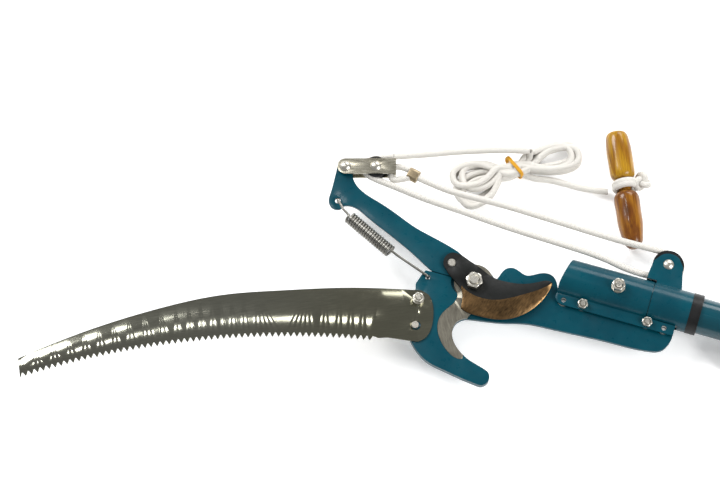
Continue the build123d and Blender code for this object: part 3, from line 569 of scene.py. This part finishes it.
def braided(name, line, width_mm=rope_wide, step_mm=0.42, sides=30, relief_mm=0.5):
    """A braided rope along a line, its weave made as relief and kept as an attribute."""
    points, length = resample(line, step_mm * MM)
    up = Vector((0, 0, 1))
    verts, heights = [], []
    radius = width_mm / 2
    for i, point in enumerate(points):
        before, after = points[max(0, i - 1)], points[min(len(points) - 1, i + 1)]
        way = (after - before).normalized()
        up = (up - way * up.dot(way)).normalized()
        side = way.cross(up)
        s = length / MM * i / (len(points) - 1)
        for k in range(sides):
            a = 2 * pi * k / sides
            h = braid_height(s, a)
            r = (radius - relief_mm * (1 - h)) * MM
            verts.append(point + (up * cos(a) + side * sin(a)) * r)
            heights.append(h)
    faces = []
    for i in range(len(points) - 1):
        for k in range(sides):
            a, b = i * sides + k, i * sides + (k + 1) % sides
            faces.append((a, b, b + sides, a + sides))
    faces.append(tuple(range(sides)))
    faces.append(tuple(reversed(range((len(points) - 1) * sides, len(points) * sides))))
    mesh = bpy.data.meshes.new(name)
    mesh.from_pydata([tuple(v) for v in verts], [], faces)
    attribute = mesh.attributes.new("weave", "FLOAT", "POINT")
    attribute.data.foreach_set("value", heights)
    obj = new_object(name, mesh)
    for polygon in mesh.polygons:
        polygon.use_smooth = True
    mesh.materials.append(paint["rope"])
    return obj, points, length


def rope_piece(name, line, stand_ins, body="head"):
    obj, points, length = braided(name, line)
    if body:
        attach(obj, body)
    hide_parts(*stand_ins)
    return obj, points, length


becket, becket_points, becket_length = rope_piece(
    "rope_becket_loop", route_line("becket", becket_route), ["rope_becket"], "link"
)
tackle, tackle_points, tackle_length = rope_piece(
    "rope_tackle_run", route_line("tackle", tackle_route), ["rope_tackle"], None
)
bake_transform(tackle)
lead, lead_points, lead_length = rope_piece(
    "rope_lead_run", route_line("lead", lead_route), ["rope_lead"], None
)
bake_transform(lead)
coil_route = [lead_route[-1]] + [(16, 131, floor + 9)] + hank_route() + tail_route
coil, coil_points, coil_length = rope_piece(
    "rope_hank_and_tail", route_line("coil", coil_route), ["rope_hank", "rope_tail"]
)


# ---- handle, knot, turns and band ----------------------------------------------------
handle = rounded("pull_handle", 0.3, 2)
def neck_route():
    points = []
    r = neck_r + rope_d / 2
    for i in range(2 * 12 + 1):
        a = 2 * pi * i / 12
        s = neck_s - rope_d / 2 - 0.3 + (rope_d + 0.6) * i / 24
        points.append(on_handle(s, r * cos(a) / cos(pi / 12), r * sin(a) / cos(pi / 12)))
    return points


neck = rope_piece("rope_neck_turns", route_line("neck", neck_route()), ["neck_turns"])[0]


def knot_route():
    """An overhand knot drawn tight: a trefoil-like winding."""
    points = []
    for i in range(40):
        t = 2 * pi * i / 39 * 0.985
        x = sin(t) + 2 * sin(2 * t)
        y = cos(t) - 2 * cos(2 * t)
        z = -sin(3 * t)
        points.append(on_handle(neck_s - 2 + y * 2.2, 15.6 + x * 2.1, 0.6 + z * 3.0))
    return points


knot = rope_piece("rope_knot_wound", route_line("knot", knot_route()), ["rope_knot"])[0]
band = rounded("hank_band", 0.4, 2)


# ---- hard pieces ------------------------------------------------------------------------
soft_edges = {
    "body_plate": 0.7,
    "hook_face": 0.9,
    "lever_arm": 0.8,
    "counter_blade": 0.25,
    "clamp_front": 0.5,
    "clamp_rear": 0.5,
    "pulley_bracket": 0.5,
    "link_strap": 0.4,
    "lock_collar": 1.0,
    "collar_lip": 0.8,
    "lock_lever": 0.3,
    "grip": 0.4,
    "end_cap": 1.2,
    "pole_top": 0.3,
    "pole_lower": 0.4,
    "pole_bush": 0.2,
    "pole_plug": 0.8,
    "rope_ferrule": 0.9,
    "link_pulley": 0.2,
    "top_pulley": 0.2,
    "cutting_blade": 0.15,
    "saw_blade": 0.12,
}


def loose_boxes(node):
    """The box of each separate solid of a CAD node, from left to right."""
    work = bmesh.new()
    work.from_mesh(nodes[node].data)
    bmesh.ops.remove_doubles(work, verts=work.verts, dist=1e-6)
    todo, boxes = set(work.verts), []
    while todo:
        island, edge = set(), [todo.pop()]
        while edge:
            vert = edge.pop()
            island.add(vert)
            near = {e.other_vert(vert) for e in vert.link_edges} & todo
            todo -= near
            edge += near
        low = [min(v.co[i] for v in island) for i in range(3)]
        high = [max(v.co[i] for v in island) for i in range(3)]
        boxes.append((low, high))
    work.free()
    return sorted(boxes)


def turned(node, pieces, sides=72):
    """Closed pieces on Z axes: (x, y, flats, rings of (z, largest radius), looped), all in mm."""
    verts, faces = [], []
    for x, y, flats, rings, looped in pieces:
        first = len(verts)
        for z, most in rings:
            for k in range(sides):
                a = 2 * pi * k / sides
                hexagon = flats / 2 / cos((a + pi / 6) % (pi / 3) - pi / 6)
                r = min(most, hexagon)
                verts.append(((x + r * sin(a)) * MM, (y + r * cos(a)) * MM, z * MM))
        spans = [(i, i + 1) for i in range(len(rings) - 1)]
        spans += [(len(rings) - 1, 0)] if looped else []
        for i, j in spans:
            for k in range(sides):
                m = (k + 1) % sides
                corners = (i * sides + m, i * sides + k, j * sides + k, j * sides + m)
                faces.append(tuple(first + n for n in corners))
        if not looped:
            faces.append(tuple(first + k for k in range(sides)))
            faces.append(tuple(first + (len(rings) - 1) * sides + k for k in reversed(range(sides))))
    mesh = bpy.data.meshes.new(node + "_mesh")
    mesh.from_pydata(verts, [], faces)
    obj = new_object(node + "_visual", mesh)
    finish_mesh(obj, paint["zinc_steel"])
    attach(obj, body_of[node])
    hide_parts(node)


corner_share = 0.578
washer_t = 1.0
no_flats = 99.0


def centre_mm(box):
    low, high = box
    return (low[0] + high[0]) / 2 / MM, (low[1] + high[1]) / 2 / MM


def nuts(node, flats, bolt_r, washer_r=0.0):
    """Chamfered hexagon nuts, with a washer under them where washer_r is given."""
    pieces = []
    bore, corner = bolt_r + 0.12, flats * corner_share
    chamfer = corner - flats / 2
    for box in loose_boxes(node):
        x, y = centre_mm(box)
        z0, z1 = box[0][2] / MM, box[1][2] / MM
        seat = z0
        if washer_r:
            seat = z0 + washer_t
            washer = [(z0, bore), (z0, washer_r), (seat - 0.15, washer_r)]
            washer += [(seat, washer_r - 0.15), (seat, bore)]
            pieces.append((x, y, no_flats, washer, True))
        rings = [(seat, bore), (seat, corner), (z1 - chamfer * 0.7, corner)]
        rings += [(z1 - chamfer * 0.25, flats / 2 + chamfer * 0.35), (z1, flats / 2 - 0.15)]
        rings += [(z1, bore + 0.55), (z1 - 0.5, bore)]
        pieces.append((x, y, flats, rings, True))
    turned(node, pieces)


def bolts(node, flats, r, head_h, thread_mm, pitch=0.8):
    """Hexagon bolts standing on their heads, with a thread over the last thread_mm."""
    pieces = []
    for box in loose_boxes(node):
        z0, z1 = box[0][2] / MM, box[1][2] / MM
        corner = flats * corner_share
        chamfer = corner - flats / 2
        rings = [(z0, 0.01), (z0, flats / 2 - 0.2), (z0 + chamfer * 0.7, corner), (z0 + head_h, corner)]
        rings += [(z0 + head_h, r), (z1 - thread_mm, r)]
        turns = int((thread_mm - 0.8) / pitch)
        for i in range(turns):
            z = z1 - thread_mm + i * pitch
            rings += [(z + pitch * 0.1, r), (z + pitch * 0.5, r - 0.32), (z + pitch * 0.9, r)]
        rings += [(z1 - 0.7, r - 0.05), (z1, r - 0.65), (z1, 0.01)]
        pieces.append((*centre_mm(box), flats, rings, False))
    turned(node, pieces)


nuts("pivot_nut", 13.0, 4.0)
bolts("pivot_bolt", 13.0, 4.0, 5.3, 9.0, 1.1)
nuts("flange_nuts", 8.0, 2.5)
bolts("flange_bolts", 8.0, 2.5, 3.5, 7.0)
nuts("sleeve_nut", 10.0, 3.0)
bolts("sleeve_bolt", 10.0, 3.0, 4.2, 8.0, 1.0)
nuts("saw_nut", 8.0, 2.5, 5.0)
bolts("saw_screw", 8.0, 2.5, 3.5, 8.0)

spring = new_object("spring_wound", nodes["return_spring"].data.copy())
outward = [vertex.normal.copy() for vertex in spring.data.vertices]
for vertex, normal in zip(spring.data.vertices, outward):
    vertex.co += normal * 0.22 * MM
finish_mesh(spring, paint["spring_steel"])
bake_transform(spring)
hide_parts("return_spring")

for node, obj in nodes.items():
    if obj.hide_render:
        continue
    if node in soft_edges:
        rides = "link" if node == "rope_ferrule" else body_of[node]
        segments = 3 if soft_edges[node] > 0.3 else 1
        piece = rounded(node, soft_edges[node], segments, body=rides)
        if node == "cutting_blade":
            grind(piece, paint["blade_bevel"])
    else:
        obj.data.materials.clear()
        obj.data.materials.append(paint[slot_of[node]])

# ---- floor and light -------------------------------------------------------------------


def flat(name, size, place, material):
    mesh = bpy.data.meshes.new(name)
    h = size / 2
    mesh.from_pydata([(-h, -h, 0), (h, -h, 0), (h, h, 0), (-h, h, 0)], [], [(0, 1, 2, 3)])
    mesh.materials.append(material)
    obj = new_object(name, mesh)
    obj.location = place
    return obj


paper, _, paper_shader = start_material("paper_matt_white", "fafafa", 0.95)
paper_shader.inputs["Emission Color"].default_value = (1, 1, 1, 1)
paper_shader.inputs["Emission Strength"].default_value = 0.3
paper_shader.inputs["Specular IOR Level"].default_value = 0.0
floor_plane = flat("floor", 8.0, (0, 0, -0.0002), paper)


def softbox(name, place, target, size, power, wide=1.0):
    data = bpy.data.lights.new(name, "AREA")
    data.shape = "RECTANGLE"
    data.size = size * wide
    data.size_y = size
    data.energy = power
    light = bpy.data.objects.new(name, data)
    bpy.context.scene.collection.objects.link(light)
    light.location = place
    light.rotation_euler = (Vector(target) - Vector(place)).to_track_quat("-Z", "Y").to_euler()


head = at(-60, 20)
saw_middle = at(-232, -112, 6)
view_way = (bpy.context.scene.camera.location - saw_middle).normalized()
mirror_way = Vector((-view_way.x, -view_way.y, view_way.z))
softbox("key", head + Vector((-1.5, 0.7, 1.3)), head, 0.9, 40)
softbox("fill", head + Vector((1.5, -0.3, 1.1)), head, 0.9, 26)
softbox("back", head + Vector((0.3, 1.8, 1.0)), head, 0.8, 22, 1.6)
softbox("strip", saw_middle + mirror_way * 1.4, saw_middle, 0.16, 1.6, 1.0)
world = bpy.data.worlds.new("studio")
world.use_nodes = True
world.node_tree.nodes["Background"].inputs["Color"].default_value = (1, 1, 1, 1)
world.node_tree.nodes["Background"].inputs["Strength"].default_value = 0.36
bpy.context.scene.world = world
bpy.context.scene.view_settings.view_transform = "Standard"
